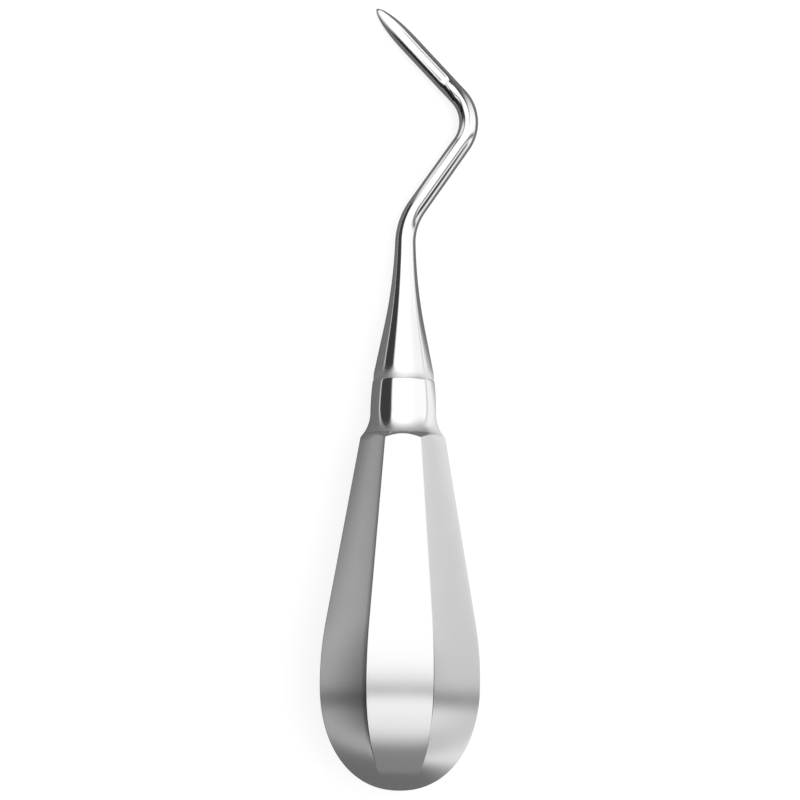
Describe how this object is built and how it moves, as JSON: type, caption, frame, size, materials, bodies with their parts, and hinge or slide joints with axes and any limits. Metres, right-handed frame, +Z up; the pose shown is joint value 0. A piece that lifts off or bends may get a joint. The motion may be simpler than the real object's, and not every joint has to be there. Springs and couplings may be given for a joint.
{
  "type": "root elevator",
  "caption": "Steel root elevator: octagonal pear-shaped hollow handle, flared ferrule, tapered cone, offset bent shank and a narrow pointed blade with a shallow flute.",
  "frame": {"origin": "middle of the flat strip on the underside of the handle's belly, on the surface that the instrument lies on", "axes": "+Z up from that surface, +Y from the butt towards the tip, +X to the side on which the shank's elbow stands out"},
  "size_m": [0.0302, 0.1494, 0.0306],
  "materials": {
    "satin_steel": "fine satin, brushed along the handle",
    "polished_steel": "mirror polished"
  },
  "bodies": {
    "root": {"hollow_handle": "satin_steel", "ferrule": "polished_steel", "shank_blade": "polished_steel"}
  },
  "joints": []
}
